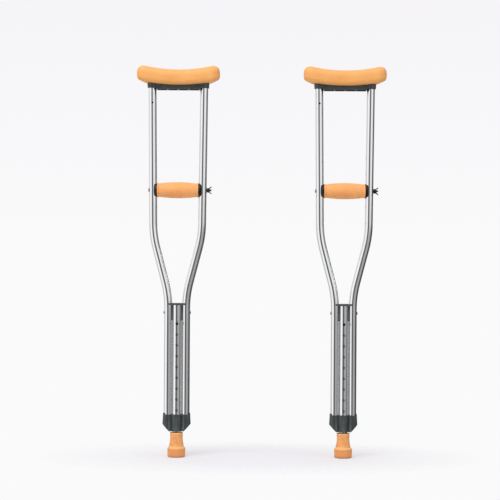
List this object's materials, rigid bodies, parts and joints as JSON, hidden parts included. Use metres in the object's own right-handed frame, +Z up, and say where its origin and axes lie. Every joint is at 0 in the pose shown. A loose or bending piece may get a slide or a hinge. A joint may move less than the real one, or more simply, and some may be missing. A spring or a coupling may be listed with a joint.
{
  "type": "pair of underarm crutches",
  "caption": "Adjustable underarm crutches with splayed aluminium side tubes, a dished pad, a barrel hand grip on a wing nut bolt, and a telescopic leg with a rubber tip.",
  "frame": {"origin": "on the floor, midway between the two tips, under the middle of the bounding box", "axes": "+Z up along the tubes, +X from the left crutch to the right as the viewer sees them, +Y from the front, where the height holes are, to the back"},
  "size_m": [0.5872, 0.0466, 0.9191],
  "materials": {
    "sponge": "matte",
    "tan_rubber": "matte",
    "slate_plastic": "satin",
    "black_plastic": "satin",
    "tube": "gloss",
    "zinc_steel": "satin",
    "dark_steel": "satin",
    "dark_button": "gloss"
  },
  "bodies": {
    "left_crutch": {"left_underarm_pad": "sponge", "left_saddle": "slate_plastic", "left_saddle_pin_left": "dark_steel", "left_saddle_pin_right": "dark_steel", "left_side_tube_left": "tube", "left_side_tube_right": "tube", "left_grip_sleeve": "sponge", "left_grip_core": "tube", "left_grip_cap_left": "black_plastic", "left_grip_cap_right": "black_plastic", "left_grip_bolt": "zinc_steel", "left_centre_tube": "tube", "left_top_spacer": "slate_plastic", "left_cross_rivet": "zinc_steel", "left_bottom_bracket": "slate_plastic", "left_bracket_rivet_left": "zinc_steel", "left_bracket_rivet_right": "zinc_steel"},
    "left_foot": {"left_foot_tube": "tube", "left_button_spring": "zinc_steel", "left_tip": "tan_rubber", "left_tip_washer": "zinc_steel"},
    "left_button": {"left_snap_button": "dark_button"},
    "left_washer": {"left_grip_washer": "dark_steel"},
    "left_nut": {"left_wing_nut": "dark_steel"},
    "right_crutch": {"right_underarm_pad": "sponge", "right_saddle": "slate_plastic", "right_saddle_pin_left": "dark_steel", "right_saddle_pin_right": "dark_steel", "right_side_tube_left": "tube", "right_side_tube_right": "tube", "right_grip_sleeve": "sponge", "right_grip_core": "tube", "right_grip_cap_left": "black_plastic", "right_grip_cap_right": "black_plastic", "right_grip_bolt": "zinc_steel", "right_centre_tube": "tube", "right_top_spacer": "slate_plastic", "right_cross_rivet": "zinc_steel", "right_bottom_bracket": "slate_plastic", "right_bracket_rivet_left": "zinc_steel", "right_bracket_rivet_right": "zinc_steel"},
    "right_foot": {"right_foot_tube": "tube", "right_button_spring": "zinc_steel", "right_tip": "tan_rubber", "right_tip_washer": "zinc_steel"},
    "right_button": {"right_snap_button": "dark_button"},
    "right_washer": {"right_grip_washer": "dark_steel"},
    "right_nut": {"right_wing_nut": "dark_steel"}
  },
  "joints": [
    {"name": "left_height", "type": "slide", "parent": "left_crutch", "child": "left_foot", "axis": [0, 0, -1], "range_m": [0, 0.2032], "deforming": ["left_snap_button", "left_button_spring"]},
    {"name": "left_button_press", "type": "slide", "parent": "left_foot", "child": "left_button", "axis": [0, 1, 0], "range_m": [0, 0.0052], "stiffness_N_per_m": 1500, "springref_m": -0.002, "deforming": ["left_button_spring"]},
    {"name": "left_washer_slide", "type": "slide", "parent": "left_crutch", "child": "left_washer", "axis": [1, 0, 0], "range_m": [0, 0.0096]},
    {"name": "left_nut_turn", "type": "hinge", "parent": "left_washer", "child": "left_nut", "pos_m": [-0.1264, 0, 0.6268], "axis": [1, 0, 0], "range_deg": [0, 4320]},
    {"name": "right_lift", "type": "slide", "parent": "left_crutch", "child": "right_crutch", "axis": [0, 0, 1], "range_m": [0, 0.25]},
    {"name": "right_height", "type": "slide", "parent": "right_crutch", "child": "right_foot", "axis": [0, 0, -1], "range_m": [0, 0.2032], "deforming": ["right_snap_button", "right_button_spring"]},
    {"name": "right_button_press", "type": "slide", "parent": "right_foot", "child": "right_button", "axis": [0, 1, 0], "range_m": [0, 0.0052], "stiffness_N_per_m": 1500, "springref_m": -0.002, "deforming": ["right_button_spring"]},
    {"name": "right_washer_slide", "type": "slide", "parent": "right_crutch", "child": "right_washer", "axis": [1, 0, 0], "range_m": [0, 0.0096]},
    {"name": "right_nut_turn", "type": "hinge", "parent": "right_washer", "child": "right_nut", "pos_m": [0.2656, 0, 0.6268], "axis": [1, 0, 0], "range_deg": [0, 4320]}
  ],
  "couplings": [
    {"joint": "left_washer_slide", "follows": "left_nut_turn", "m_per_rad": 0.00012732},
    {"joint": "right_washer_slide", "follows": "right_nut_turn", "m_per_rad": 0.00012732}
  ]
}
